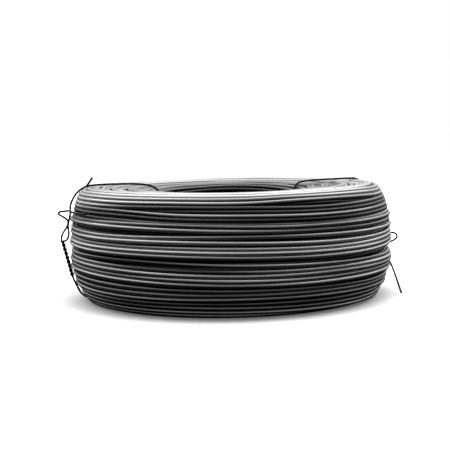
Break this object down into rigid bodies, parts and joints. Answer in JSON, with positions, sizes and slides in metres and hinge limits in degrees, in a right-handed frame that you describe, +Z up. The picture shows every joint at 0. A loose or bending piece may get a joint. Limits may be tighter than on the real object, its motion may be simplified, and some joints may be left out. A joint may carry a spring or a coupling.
{
  "type": "coil of steel wire",
  "caption": "Compact flat-lying coil of black steel wire, wound in close layers round an open bore and bound with thin tie wires; stock for fencing, binding and wire forming.",
  "frame": {"origin": "on the bore's axis, in the plane of the flat lower end that the coil lies on", "axes": "+Z up along the bore's axis; +X to the right and -Y towards the viewer as pictured"},
  "size_m": [0.219, 0.2, 0.0761],
  "materials": {
    "coil_wire": "satin black drawn steel",
    "tie_wire": "dull black annealed steel"
  },
  "bodies": {
    "root": {"wire_coil": "coil_wire", "tie_wire_left": "tie_wire", "tie_wire_right": "tie_wire"}
  },
  "joints": []
}
